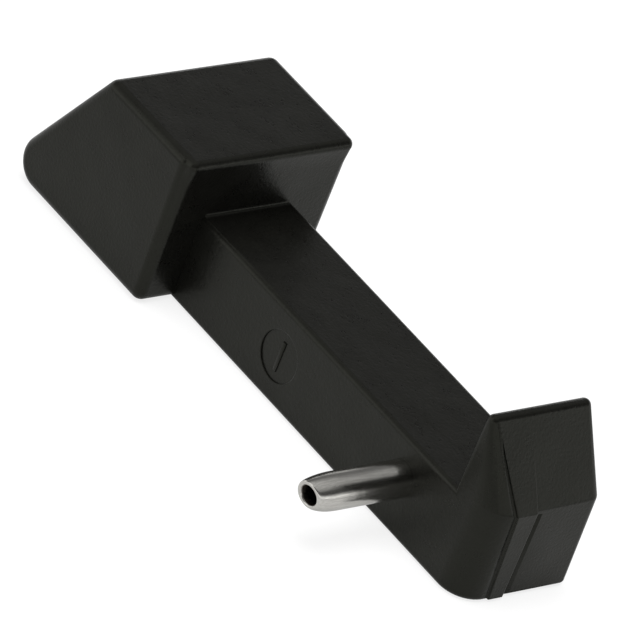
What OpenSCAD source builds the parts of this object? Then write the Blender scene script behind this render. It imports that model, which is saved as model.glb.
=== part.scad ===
// Shorting shunt: a moulded insulator with a grip head, a straight bar and a
// stepped tail, and one rolled tubular contact that stands out of its side.
// Millimetres. X runs from the grip head to the tail, the contact points
// along -Y, and Z is up. The origin is on the underside, below the contact's
// axis and half way across the bar.

/* [Bar] */
// Width of the bar, side to side
bar_w = 4.8; // [3.9:0.1:6]
// Height of the bar above the underside
bar_h = 4.1; // [3.2:0.1:5]
// From the head's inner face to the contact's axis
contact_reach = 14.8; // [12:0.1:20]
// Rounding of the moulded edges
edge_r = 0.25; // [0.15:0.05:0.35]

/* [Grip head] */
// Length of the head along its foot
head_foot = 9; // [8:0.1:12]
// Length of the head along its top
head_top = 5.7; // [4:0.1:7]
// Width of the head
head_w = 8.8; // [6.6:0.1:10]
// How far the head sits off the bar's middle, to the far side
head_off = 0.1; // [-0.3:0.05:0.3]
// Height of the head
head_h = 7.1; // [6:0.1:9]
// Rounding of the head's edges
head_r = 0.45; // [0.3:0.05:0.6]
// Rounding of the head's outer foot
head_toe_r = 1.2; // [0.5:0.05:1.3]
// How far the inner face's draft carries its foot towards the tail
head_draft = 0.2; // [0:0.05:0.4]
// How far the finger lip stands out of the inner face
lip_out = 0.33; // [0.2:0.01:0.5]
// How far the lip reaches down the inner face
lip_drop = 1; // [0.6:0.1:1.8]

/* [Tail] */
// From the contact's axis to the tail's end face
tail_reach = 5.2; // [4.6:0.1:7]
// Length of the tail block
tail_l = 2.5; // [2.2:0.1:3]
// Height of the tail block
tail_h = 7.9; // [6.4:0.1:9]
// Length of the tail block's rounded top
tail_top = 0.6; // [0.55:0.05:0.9]
// Height at which the end face starts to lean back
lean_start = 4.3; // [3.6:0.1:5]
// How far the tail block stands out past the bar's far side
tail_side = 0.95; // [0.6:0.05:2]
// How much of that the draft takes away at the top
tail_draft = 0.5; // [0.02:0.02:0.6]
// Step between the two mould halves on the end face
parting_step = 0.12; // [0.06:0.02:0.2]
// Rounding of the near corner, below the lean
corner_r = 1.4; // [0.8:0.1:1.6]
// Rounding of the far end of the bend below the lean
bend_r = 0.5; // [0.3:0.05:0.6]
// Rounding of the tail block's top
crest_r = 0.3; // [0.2:0.02:0.3]
// Width of the raised land on the end face
land_w = 1.1; // [0.5:0.05:1.2]
// How much narrower the land is at its foot
land_foot = 0.3; // [0:0.05:0.4]
// From the middle of the bar to the land's far edge, towards the near side
land_off = 0.05; // [-0.2:0.05:0.3]
// How far the land shifts to the near side at the top of the lean
land_lean = 0.25; // [0:0.05:0.6]
// Height of the land above the end face
land_rise = 0.08; // [0.04:0.02:0.14]

/* [Contact] */
// Outside diameter of the rolled contact
contact_d = 1.57; // [1.3:0.01:2]
// Wall of the rolled contact
contact_wall = 0.22; // [0.15:0.01:0.3]
// Height of the contact's axis above the underside
contact_z = 2.4; // [1.6:0.1:2.6]
// Length of the contact outside the bar
contact_out = 4.85; // [3.4:0.05:7]
// Length of the contact inside the bar
contact_in = 3.4; // [2.4:0.1:3.4]
// Length of the closed-in nose
nose_l = 1.3; // [0.9:0.1:1.8]
// Outside diameter of the nose at its rim
nose_d = 1.26; // [1.1:0.02:1.28]
// Lean of the rim, in degrees
nose_lean = 14; // [0:1:15]
// Diameter of the hole left in the nose
nose_hole = 0.84; // [0.6:0.05:0.96]
// How far the locking collar stands off the wall
collar_rise = 0.16; // [0.1:0.02:0.3]
// Length of the locking collar
collar_l = 0.8; // [0.6:0.1:1.2]
// Depth of the locking collar behind the bar's side
collar_in = 0.1; // [0.1:0.1:1.4]

/* [Cavity mark] */
// Radius of the shallow round mark
mark_r = 1.1; // [0.8:0.05:1.3]
// Depth of the round mark
mark_deep = 0.12; // [0.04:0.01:0.16]
// Length of the raised bar in the mark
mark_bar = 1.4; // [0.8:0.1:1.5]
// Width of the raised bar in the mark
mark_bar_w = 0.2; // [0.1:0.05:0.3]
// From the head's inner face to the mark's centre
mark_from_head = 6.6; // [4:0.1:9]

/* [Hidden] */
head_x = -contact_reach;
tail_x = tail_reach;
tail_back = tail_x - tail_l;
crest_x = tail_back + tail_top - crest_r;
near_y = -bar_w / 2;
far_y = bar_w / 2;
tail_far_y = far_y + tail_side;
land_y = -land_off;
parting_y = land_y - land_lean - crest_r;
contact_r = contact_d / 2;
rim_r = (nose_d - nose_hole) / 4;

// Hull of balls, each given as [x, y, z, radius]
module blend(balls) {
    hull()
        for (b = balls) translate([b[0], b[1], b[2]]) sphere(r = b[3], $fn = 32);
}

// Grip head: a wedge whose outer face leans in towards the top
module grip_head() {
    r = head_r;
    q = head_toe_r;
    translate([0, head_off, 0]) hull() {
        translate([head_x - head_foot + q * 1.2, head_w / 2, q]) rotate([90, 0, 0]) post(q, r, head_w);
        for (y = [r - head_w / 2, head_w / 2 - r]) {
            translate([head_x - r + head_draft, y, r]) sphere(r = r, $fn = 32);
            for (x = [head_x - head_top + r, head_x - r])
                translate([x, y, head_h - r]) sphere(r = r, $fn = 32);
        }
    }
}

// Finger lip along the top of the head's inner face
module lip() {
    r = lip_out;
    blend([
        for (y = [head_off + head_r - head_w / 2, head_off + head_w / 2 - head_r]) each [
            [head_x, y, head_h - r, r],
            [head_x - r, y, head_h - lip_drop - r, r],
            [head_x - head_r, y, head_h - r, r]
        ]
    ]);
}

// Straight bar, which runs into the head and the tail block
module bar() {
    r = edge_r;
    hull()
        for (y = [near_y + r, far_y - r], z = [r, bar_h - r])
            translate([head_x - head_top / 2, y, z]) rotate([0, 90, 0])
                cylinder(r = r, h = contact_reach + head_top / 2 + tail_back + 2 * r, $fn = 32);
}

// Upright post with rounded rims
module post(r, rim, h) {
    rotate_extrude($fn = 64)
        for (z = [rim, h - rim]) {
            translate([r - rim, z]) intersection() {
                circle(r = rim, $fn = 32);
                translate([0, -rim]) square([rim, 2 * rim]);
            }
            square([r - rim, h]);
            translate([0, rim]) square([r, h - 2 * rim]);
        }
}

// Near part of the tail block: its corner is a cone that narrows up the lean
module tail_near() {
    r = edge_r;
    q = crest_r;
    x_end = tail_x - land_rise;
    hull() {
        translate([x_end - corner_r, near_y + corner_r, 0]) post(corner_r, r, lean_start + r);
        for (x = [tail_back + q, crest_x], y = [near_y + q, parting_y])
            translate([x, y, tail_h - q]) sphere(r = q, $fn = 32);
        for (x = [tail_back + r, x_end - r], z = [r, lean_start])
            translate([x, land_y - r, z]) sphere(r = r, $fn = 32);
        translate([tail_back + r, near_y + r, r]) sphere(r = r, $fn = 32);
    }
}

// Far part of the tail block, set back by the step of the parting line
module tail_far() {
    r = edge_r;
    q = crest_r;
    x_end = tail_x - parting_step;
    blend([
        for (y = [land_y - r, tail_far_y - r], x = [tail_back + r, x_end - r]) [x, y, r, r],
        [x_end - r, land_y - r, lean_start, r],
        [x_end - bend_r, tail_far_y - bend_r, lean_start, bend_r],
        for (y = [parting_y, tail_far_y - tail_draft - q], x = [tail_back + q, crest_x])
            [x, y, tail_h - q, q]
    ]);
}

// Raised land between the two parts, which spreads up the lean
module tail_land() {
    r = land_rise;
    blend([
        for (x = [tail_x - corner_r, tail_x - r], y = [land_y - land_w + land_foot + r, land_y - r])
            [x, y, 2 * r, r],
        for (y = [land_y - land_w + r, land_y - r]) [tail_x - r, y, lean_start, r],
        for (y = [near_y + crest_r, land_y - land_lean - r])
            [crest_x + crest_r - r, y, tail_h - crest_r, r]
    ]);
}

// Places its children on the contact's axis, with +Z running into the bar
module on_contact() {
    translate([0, near_y, contact_z]) rotate([-90, 0, 0]) children();
}

// Contact's straight wall from this far outside the bar to its held end, with
// the locking collar under the bar's skin
module contact_wall_out(out) {
    translate([0, 0, -out]) cylinder(r = contact_r, h = out + contact_in, $fn = 64);
    translate([0, 0, collar_in]) cylinder(r = contact_r + collar_rise, h = collar_l, $fn = 64);
}

// Shallow round mark with a short bar left standing in it
module cavity_mark() {
    translate([head_x + mark_from_head, near_y, bar_h / 2]) rotate([90, 0, 0])
        difference() {
            translate([0, 0, -mark_deep]) cylinder(r = mark_r, h = 2 * mark_deep, $fn = 64);
            cube([mark_bar_w, mark_bar, 4 * mark_deep], center = true);
        }
}

// Nose rim, standing on the contact's axis at the nose's open end
module on_rim() {
    translate([0, 0, -contact_out + nose_d / 8])
        rotate([0, 0, 54]) rotate([0, -nose_lean, 0]) children();
}

module housing() {
    color([0.06, 0.06, 0.055])
    difference() {
        union() {
            grip_head();
            lip();
            bar();
            tail_near();
            tail_far();
            tail_land();
        }
        on_contact() contact_wall_out(corner_r);
        cavity_mark();
    }
}

module contact_pin() {
    color([0.75, 0.75, 0.73])
    on_contact() difference() {
        union() {
            contact_wall_out(contact_out - nose_l);
            hull() {
                translate([0, 0, nose_l - contact_out]) cylinder(r = contact_r, h = 0.01, $fn = 64);
                translate([0, 0, nose_l * 0.55 - contact_out]) cylinder(r = contact_r - 0.03, h = 0.01, $fn = 64);
                on_rim() rotate_extrude($fn = 48) translate([nose_d / 2 - rim_r, 0]) circle(r = rim_r, $fn = 24);
            }
        }
        translate([0, 0, nose_l * 0.7 - contact_out]) cylinder(r = contact_r - contact_wall, h = contact_out + contact_in, $fn = 64);
        on_rim() cylinder(d = nose_hole, h = 2 * nose_l, center = true, $fn = 48);
    }
}

housing();
contact_pin();
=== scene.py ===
import math

import bpy
from mathutils import Matrix, Vector


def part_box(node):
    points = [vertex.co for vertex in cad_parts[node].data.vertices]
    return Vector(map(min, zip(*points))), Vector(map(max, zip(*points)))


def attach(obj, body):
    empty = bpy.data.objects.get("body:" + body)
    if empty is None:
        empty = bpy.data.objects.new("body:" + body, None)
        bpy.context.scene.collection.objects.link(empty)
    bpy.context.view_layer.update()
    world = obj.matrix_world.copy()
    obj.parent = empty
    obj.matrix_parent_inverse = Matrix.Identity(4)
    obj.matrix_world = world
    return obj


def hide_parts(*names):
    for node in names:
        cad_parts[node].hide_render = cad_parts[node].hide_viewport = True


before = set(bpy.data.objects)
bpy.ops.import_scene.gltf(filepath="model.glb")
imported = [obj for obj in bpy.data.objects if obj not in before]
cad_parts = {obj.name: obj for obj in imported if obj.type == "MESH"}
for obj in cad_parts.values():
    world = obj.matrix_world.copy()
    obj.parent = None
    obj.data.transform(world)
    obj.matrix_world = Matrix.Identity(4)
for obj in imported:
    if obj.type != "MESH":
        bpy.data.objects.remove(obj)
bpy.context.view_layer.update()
scene = bpy.context.scene
mm = 0.001
print("frame loaded:", ", ".join(sorted(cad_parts)))


cameraSetup = {
    "aim": (-9.8185, 0.9867, 2.0899),          # mm
    "right": (0.57121, 0.75536, 0.32134),
    "up": (-0.61041, 0.12912, 0.78150),
    "back": (0.54882, -0.64255, 0.53483),      # from the aim point to the camera
    "distance": 360.0,                         # mm, a long lens well back
    "lens": 506.25,
    "sensor": 36.0,
    "clip": (0.01, 5.0),                       # metres
}


def addCamera(setup):
    bpy.ops.object.camera_add()
    camera = bpy.context.object
    camera.name = "camera"
    axes = Matrix([setup["right"], setup["up"], setup["back"]]).transposed().to_4x4()
    spot = (Vector(setup["aim"]) + Vector(setup["back"]) * setup["distance"]) * mm
    camera.matrix_world = Matrix.Translation(spot) @ axes
    camera.data.lens = setup["lens"]
    camera.data.sensor_width = setup["sensor"]
    camera.data.clip_start, camera.data.clip_end = setup["clip"]
    scene.camera = camera


addCamera(cameraSetup)
print("camera set")


class Wire:                                    # a socket that takes part in sums
    def __init__(self, shader, socket):
        self.shader = shader
        self.socket = socket

    def sum(self, operation, first, second):
        return self.shader.add("ShaderNodeMath", {"operation": operation}, {0: first, 1: second})

    def __add__(self, other):
        return self.sum("ADD", self, other)

    def __radd__(self, other):
        return self.sum("ADD", other, self)

    def __sub__(self, other):
        return self.sum("SUBTRACT", self, other)

    def __rsub__(self, other):
        return self.sum("SUBTRACT", other, self)

    def __mul__(self, other):
        return self.sum("MULTIPLY", self, other)

    def __rmul__(self, other):
        return self.sum("MULTIPLY", other, self)

    def larger(self, other):
        return self.sum("MAXIMUM", self, other)


class Shader:
    def __init__(self, tree):
        self.tree = tree
        tree.nodes.clear()

    def add(self, kind, settings=None, sockets=None, out=0):
        node = self.tree.nodes.new(kind)
        for key, value in (settings or {}).items():
            setattr(node, key, value)
        for key, value in (sockets or {}).items():
            if isinstance(value, Wire):
                self.tree.links.new(value.socket, node.inputs[key])
            else:
                node.inputs[key].default_value = value
        return Wire(self, node.outputs[out]) if len(node.outputs) else node

    def noise(self, place, size, detail, roughness=0.5):       # size is the grain in metres
        return self.add("ShaderNodeTexNoise", {}, {
            "Vector": place, "Scale": 1.0 / size, "Detail": detail, "Roughness": roughness})

    def bump(self, height, depth, under=None):                 # on top of another bump, if one is given
        sockets = {"Strength": 1.0, "Distance": depth, "Height": height}
        if under:
            sockets["Normal"] = under
        return self.add("ShaderNodeBump", {}, sockets)

    def blend(self, mask, first, second):                      # colours
        return self.add("ShaderNodeMix", {"data_type": "RGBA"}, {
            "Factor": mask, 6: first, 7: second}, out=2)

    def steps(self, wire, low, high, toLow=0.0, toHigh=1.0):
        return self.add("ShaderNodeMapRange", {"clamp": True}, {
            "Value": wire, "From Min": low, "From Max": high, "To Min": toLow, "To Max": toHigh})


def newMaterial(name):
    material = bpy.data.materials.new(name)
    material.use_nodes = True
    return material, Shader(material.node_tree)


nylonLook = {
    "dark": (0.0048, 0.0047, 0.0040, 1), "pale": (0.0064, 0.0063, 0.0053, 1),
    "mottle": 0.9 * mm, "mottleDetail": 4.0, "mottleRoughness": 0.6,
    "grain": 0.13 * mm, "speck": 0.06 * mm, "wave": 2.6 * mm,
    "grainInColour": 0.5, "colourRange": (0.55, 0.95),         # grain's share, and where the colour turns
    "grainInRough": 0.5, "roughRange": (0.3, 0.7),
    "smooth": 0.26, "rough": 0.34,
    "grainInBump": 0.7, "speckInBump": 0.3,
    "grainDepth": 0.012 * mm, "waveDepth": 0.04 * mm,
    "specular": 0.20, "tint": (0.97, 1.0, 0.84, 1),
}


def makeNylon(look):
    material, s = newMaterial("blackNylon")
    place = s.add("ShaderNodeTexCoord", out="Object")
    mottle = s.noise(place, look["mottle"], look["mottleDetail"], look["mottleRoughness"])
    grain = s.noise(place, look["grain"], 1.0)
    speck = s.noise(place, look["speck"], 1.0)
    wave = s.noise(place, look["wave"], 1.0)
    patchy = mottle + grain * look["grainInColour"]
    colour = s.blend(s.steps(patchy, *look["colourRange"]), look["dark"], look["pale"])
    worn = mottle * (1 - look["grainInRough"]) + grain * look["grainInRough"]
    rough = s.steps(worn, *look["roughRange"], look["smooth"], look["rough"])
    fine = s.bump(grain * look["grainInBump"] + speck * look["speckInBump"], look["grainDepth"])
    surface = s.add("ShaderNodeBsdfPrincipled", {}, {
        "Base Color": colour, "Roughness": rough, "Normal": s.bump(wave, look["waveDepth"], fine),
        "Specular IOR Level": look["specular"], "Specular Tint": look["tint"]})
    s.add("ShaderNodeOutputMaterial", {}, {"Surface": surface})
    return material


tinLook = {
    "bright": (0.56, 0.55, 0.52, 1), "dull": (0.42, 0.41, 0.385, 1),
    # inside is a dark colour painted into the pin's bore as painted shade in the hole; insideRough makes it
    # rougher there
    "inside": (0.06, 0.042, 0.026, 1), "insideRough": 0.3,
    "axisZ": 2.4 * mm, "boreR": 0.45 * mm, "boreEdge": 0.04 * mm,
    "streak": 0.05 * mm, "stretch": 0.06, "streakDetail": 3.0, "streakRoughness": 0.6,
    "dent": 0.9 * mm, "dentDetail": 2.0,
    "streakInColour": 0.6, "dentInColour": 0.4, "colourRange": (0.35, 0.7),
    "smooth": 0.16, "rough": 0.28, "roughRange": (0.3, 0.75),
    "streakDepth": 0.0008 * mm, "dentDepth": 0.010 * mm,
}


def makeTin(look):
    material, s = newMaterial("tinPlate")
    place = s.add("ShaderNodeTexCoord", out="Object")
    along = s.add("ShaderNodeMapping", {}, {                   # streaks run along the contact
        "Vector": place, "Location": (0, 0, -look["axisZ"]), "Scale": (1, look["stretch"], 1)})
    streak = s.noise(along, look["streak"], look["streakDetail"], look["streakRoughness"])
    dent = s.noise(place, look["dent"], look["dentDetail"])
    cross = s.add("ShaderNodeVectorMath", {"operation": "MULTIPLY"}, {0: along, 1: (1, 0, 1)})
    radius = s.add("ShaderNodeVectorMath", {"operation": "LENGTH"}, {0: cross}, out="Value")
    # mask of the bore's mouth and inside, where the painted shade takes over from the plating
    inside = s.steps(radius, look["boreR"], look["boreR"] - look["boreEdge"])
    patchy = streak * look["streakInColour"] + dent * look["dentInColour"]
    plate = s.blend(s.steps(patchy, *look["colourRange"]), look["bright"], look["dull"])
    # the bore gets the painted shade colour over the plating
    colour = s.blend(inside, plate, look["inside"])
    plateRough = s.steps(streak, *look["roughRange"], look["smooth"], look["rough"])
    fine = s.bump(streak, look["streakDepth"])
    surface = s.add("ShaderNodeBsdfPrincipled", {}, {
        "Base Color": colour, "Roughness": plateRough + inside * look["insideRough"],
        "Metallic": 1.0, "Normal": s.bump(dent, look["dentDepth"], fine)})
    s.add("ShaderNodeOutputMaterial", {}, {"Surface": surface})
    return material


nylon = makeNylon(nylonLook)
tin = makeTin(tinLook)
print("finishes made")


def pickOnly(piece):
    bpy.ops.object.select_all(action="DESELECT")
    piece.select_set(True)
    bpy.context.view_layer.objects.active = piece


def applyModifier(piece, kind, **settings):
    pickOnly(piece)
    modifier = piece.modifiers.new(kind.lower(), kind)
    for key, value in settings.items():
        setattr(modifier, key, value)
    bpy.ops.object.modifier_apply(modifier=modifier.name)


def finishPiece(piece, name, material, node):
    piece.name = name
    pickOnly(piece)
    bpy.ops.object.transform_apply(location=True, rotation=True, scale=True)
    piece.data.materials.clear()
    piece.data.materials.append(material)
    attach(piece, "root")
    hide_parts(node)
    print("piece:", name, len(piece.data.polygons), "faces")


housingWork = {
    "merge": 0.0005 * mm, "flat": math.radians(0.2),
    "smoothAngle": math.radians(30), "normalWeight": 60,
    # the rest in mm; a foot or root is a place in X and Z, and its reach is how far round it to look
    "lipFoot": (-14.95, 5.80), "lipReach": (0.26, 0.20), "lipEase": 0.17,
    "root": (-14.72, 4.10), "rootReach": (0.06, 0.03), "rootFillet": 0.14, "rootSteps": 4,
    "markCentre": (-8.2, 2.05), "markReach": 1.14, "markFloor": -2.28, "markRaise": 0.05,
    "markRim": -2.4, "markEase": 0.05, "markSteps": 2, "markSlack": 0.005,
    "grooves": [                               # start, end, side of the square cutter
        ((5.08, 0.12, -0.3), (5.08, 0.10, 4.2), 0.28),
        ((5.15, -0.88, -0.3), (5.15, -1.19, 4.3), 0.13),
        ((5.15, -1.19, 4.3), (3.40, -2.05, 7.3), 0.13),
    ],
}


def nearLine(point, line, reach):              # near a line that runs along Y
    return abs(point.x / mm - line[0]) < reach[0] and abs(point.z / mm - line[1]) < reach[1]


def inMark(point, work, level):                # within the mark's circle, and level with this Y
    x, z = work["markCentre"]
    return (math.hypot(point.x / mm - x, point.z / mm - z) < work["markReach"]
            and abs(point.y / mm - level) < work["markSlack"])


def pickParts(solid, kind, wanted):            # vertices, or edges with both ends wanted; ends in edit mode
    bpy.ops.object.mode_set(mode="EDIT")
    bpy.ops.mesh.select_mode(type=kind)
    bpy.ops.mesh.select_all(action="DESELECT")
    bpy.ops.object.mode_set(mode="OBJECT")
    points = solid.data.vertices
    if kind == "VERT":
        for point in points:
            point.select = wanted(point.co)
    else:
        for edge in solid.data.edges:
            edge.select = all(wanted(points[end].co) for end in edge.vertices)
        print("edges picked:", sum(edge.select for edge in solid.data.edges))
    bpy.ops.object.mode_set(mode="EDIT")


def mergeSolid(work):                          # the CAD node's loose triangles become one skin
    solid = bpy.data.objects.new("insulator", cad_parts["housing"].data.copy())
    scene.collection.objects.link(solid)
    pickOnly(solid)
    bpy.ops.object.mode_set(mode="EDIT")
    bpy.ops.mesh.select_all(action="SELECT")
    bpy.ops.mesh.remove_doubles(threshold=work["merge"])
    bpy.ops.mesh.dissolve_limited(angle_limit=work["flat"])
    bpy.ops.mesh.normals_make_consistent(inside=False)
    return solid


def cutGroove(solid, start, end, width):
    start = Vector(start) * mm
    end = Vector(end) * mm
    bpy.ops.object.select_all(action="DESELECT")
    bpy.ops.mesh.primitive_cube_add(size=1, location=(start + end) / 2)
    cutter = bpy.context.object
    cutter.scale = (width * mm, width * mm, (end - start).length)
    edgeOn = Matrix.Rotation(math.pi / 4, 3, "Z").to_quaternion()      # so that it cuts a V
    cutter.rotation_euler = ((end - start).to_track_quat("Z", "X") @ edgeOn).to_euler()
    bpy.ops.object.transform_apply(location=True, rotation=True, scale=True)
    applyModifier(solid, "BOOLEAN", operation="DIFFERENCE", solver="EXACT", object=cutter)
    pickOnly(cutter)
    bpy.ops.object.delete()


def makeHousing(work):
    solid = mergeSolid(work)
    pickParts(solid, "VERT", lambda point: nearLine(point, work["lipFoot"], work["lipReach"]))
    bpy.ops.transform.translate(value=(work["lipEase"] * mm, 0, 0))            # the lip's foot, out a little
    pickParts(solid, "VERT", lambda point: inMark(point, work, work["markFloor"]))
    bpy.ops.transform.translate(value=(0, -work["markRaise"] * mm, 0))         # a shallower mark
    pickParts(solid, "EDGE", lambda point: nearLine(point, work["root"], work["rootReach"]))
    bpy.ops.mesh.bevel(offset=work["rootFillet"] * mm, segments=work["rootSteps"])     # bar's top at the head
    pickParts(solid, "EDGE", lambda point: inMark(point, work, work["markRim"]))
    bpy.ops.mesh.bevel(offset=work["markEase"] * mm, segments=work["markSteps"])
    bpy.ops.mesh.select_all(action="SELECT")
    bpy.ops.object.mode_set(mode="OBJECT")
    for start, end, width in work["grooves"]:
        cutGroove(solid, start, end, width)
    pickOnly(solid)
    bpy.ops.object.shade_smooth_by_angle(angle=work["smoothAngle"])
    applyModifier(solid, "WEIGHTED_NORMAL", keep_sharp=True, weight=work["normalWeight"])
    return solid


finishPiece(makeHousing(housingWork), "insulator", nylon, "housing")


contactShape = {
    "held": 3.4,                               # length inside the bar, mm
    "facets": 96,
    # distance out of the bar, radius, share of the rim's lean
    "outer": [(-3.4, 0.60, 0), (-3.4, 0.76, 0), (-3.37, 0.785, 0), (-0.91, 0.785, 0), (-0.90, 0.945, 0),
              (-0.10, 0.945, 0), (-0.09, 0.785, 0), (3.3, 0.785, 0), (3.55, 0.784, 0), (3.80, 0.776, 0.08),
              (4.03, 0.760, 0.25), (4.23, 0.738, 0.45), (4.40, 0.712, 0.65), (4.55, 0.682, 0.82),
              (4.65, 0.656, 0.93)],
    "rim": [(4.715, 0.632, 1), (4.760, 0.602, 1), (4.788, 0.565, 1), (4.796, 0.525, 1), (4.788, 0.485, 1),
            (4.760, 0.452, 1), (4.715, 0.430, 1), (4.650, 0.420, 1)],
    "bore": [(4.55, 0.424, 0.9), (4.40, 0.444, 0.7), (4.23, 0.480, 0.45), (4.05, 0.525, 0.2),
             (3.85, 0.555, 0.05), (3.65, 0.565, 0), (-3.25, 0.565, 0)],
    "lean": math.radians(14), "leanAxis": (0.809, 0.588),      # the axis in X and Z
    "smoothAngle": math.radians(40),
}


def makeContact(shape):
    stations = shape["outer"] + shape["rim"] + shape["bore"]
    low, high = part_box("contact_pin")
    centre = Vector((0, high[1] - shape["held"] * mm, (low[2] + high[2]) / 2))
    out, radius, lean = stations[0]
    bpy.ops.object.select_all(action="DESELECT")
    bpy.ops.mesh.primitive_circle_add(
        vertices=shape["facets"], radius=radius * mm, fill_type="NGON",
        location=centre + Vector((0, -out * mm, 0)), rotation=(math.pi / 2, 0, 0))
    tube = bpy.context.object
    bpy.ops.object.transform_apply(location=True, rotation=True, scale=True)
    bpy.ops.object.mode_set(mode="EDIT")
    bpy.ops.mesh.select_all(action="SELECT")
    tilt = 0.0
    for nextOut, nextRadius, nextLean in stations[1:]:
        ring = centre + Vector((0, -nextOut * mm, 0))
        bpy.ops.mesh.extrude_region_move(TRANSFORM_OT_translate={"value": (0, (out - nextOut) * mm, 0)})
        bpy.ops.transform.resize(value=(nextRadius / radius,) * 3, center_override=ring)
        if nextLean != lean:
            turn = (nextLean - lean) * shape["lean"]
            for axis, share in zip("XZ", shape["leanAxis"]):
                bpy.ops.transform.rotate(value=-turn * share, orient_axis=axis, center_override=ring)
        out, radius, lean = nextOut, nextRadius, nextLean
    bpy.ops.mesh.select_all(action="SELECT")
    bpy.ops.mesh.normals_make_consistent(inside=False)
    bpy.ops.object.mode_set(mode="OBJECT")
    bpy.ops.object.shade_smooth_by_angle(angle=shape["smoothAngle"])
    return tube


finishPiece(makeContact(contactShape), "contact", tin, "contact_pin")


floorLook = {
    "size": 1.2, "facets": 96, "below": 0.02 * mm, "albedo": 0.8,
    "seen": (0.26, 0.80), "mirrored": (0.45, 0.40),    # colour and glow, to the camera and in gloss
    "centre": (-5.0 * mm, -3.0 * mm, 0),               # in gloss the glow fades away from here
    "near": 15 * mm, "far": 36 * mm, "farShare": 0.3,
}


def addFloor(look):
    bpy.ops.object.select_all(action="DESELECT")
    bpy.ops.mesh.primitive_circle_add(
        vertices=look["facets"], radius=look["size"] / 2, fill_type="NGON", location=(0, 0, -look["below"]))
    floor = bpy.context.object
    floor.name = "floor"
    material, s = newMaterial("floorPaper")
    camera, gloss, glass = (s.add("ShaderNodeLightPath", out=ray) for ray in (
        "Is Camera Ray", "Is Glossy Ray", "Is Transmission Ray"))
    place = s.add("ShaderNodeTexCoord", out="Object")
    away = s.add("ShaderNodeVectorMath", {"operation": "DISTANCE"}, {
        0: place, 1: look["centre"]}, out="Value")
    fade = s.steps(away, look["near"], look["far"], 1.0, look["farShare"])
    plain = s.add("ShaderNodeBsdfDiffuse", {}, {"Color": (look["albedo"],) * 3 + (1,)})
    shown = []
    for (shade, glow), share in ((look["seen"], 1.0), (look["mirrored"], fade)):
        paper = s.add("ShaderNodeBsdfDiffuse", {}, {"Color": (shade,) * 3 + (1,)})
        light = s.add("ShaderNodeEmission", {}, {"Color": (1, 1, 1, 1), "Strength": share * glow})
        shown.append(s.add("ShaderNodeAddShader", {}, {0: paper, 1: light}))
    seen, mirrored = shown
    inGloss = s.add("ShaderNodeMixShader", {}, {0: gloss.larger(glass), 1: plain, 2: mirrored})
    surface = s.add("ShaderNodeMixShader", {}, {0: camera, 1: inGloss, 2: seen})
    s.add("ShaderNodeOutputMaterial", {}, {"Surface": surface})
    floor.data.materials.append(material)


worldLook = {
    "low": 1.6, "lowZ": 0.12, "highZ": 0.36,           # round the horizon
    "left": 0.20, "right": 0.08, "leftX": 0.05, "rightX": 0.45,        # above it
    "top": 0.45, "topZ": 0.62, "fullTopZ": 0.85,       # overhead
}


def addWorld(look):
    world = bpy.data.worlds.new("studio")
    scene.world = world
    world.use_nodes = True
    s = Shader(world.node_tree)
    way = s.add("ShaderNodeTexCoord", out="Generated")
    side = s.add("ShaderNodeSeparateXYZ", {}, {0: way}, out="X")
    height = s.add("ShaderNodeSeparateXYZ", {}, {0: way}, out="Z")
    above = s.steps(side, look["leftX"], look["rightX"], look["left"], look["right"])
    rise = s.steps(height, look["lowZ"], look["highZ"])
    top = s.steps(height, look["topZ"], look["fullTopZ"], 0.0, look["top"])
    room = (1 - rise) * look["low"] + rise * above + top
    back = s.add("ShaderNodeBackground", {}, {"Color": (1, 1, 1, 1), "Strength": room})
    s.add("ShaderNodeOutputWorld", {}, {"Surface": back})


lampTarget = Vector((-9, 0, 3)) * mm
lamps = [                                              # metres and watts
    {"name": "overhead", "at": (-0.05, -0.02, 0.50), "size": 0.45, "power": 2.0, "glint": False},
    {"name": "front", "at": (-0.18, -0.38, 0.26), "size": 0.40, "power": 0.4, "glint": True},
]


def addLamps(rows):
    for row in rows:
        bpy.ops.object.light_add(type="AREA", location=row["at"])
        lamp = bpy.context.object
        lamp.name = row["name"]
        lamp.data.shape = "DISK"
        lamp.data.size = row["size"]
        lamp.data.energy = row["power"]
        lamp.visible_glossy = row["glint"]
        lamp.rotation_euler = (lampTarget - lamp.location).to_track_quat("-Z", "Y").to_euler()


addFloor(floorLook)
addWorld(worldLook)
addLamps(lamps)
scene.view_settings.view_transform = "Standard"
print("stage set")
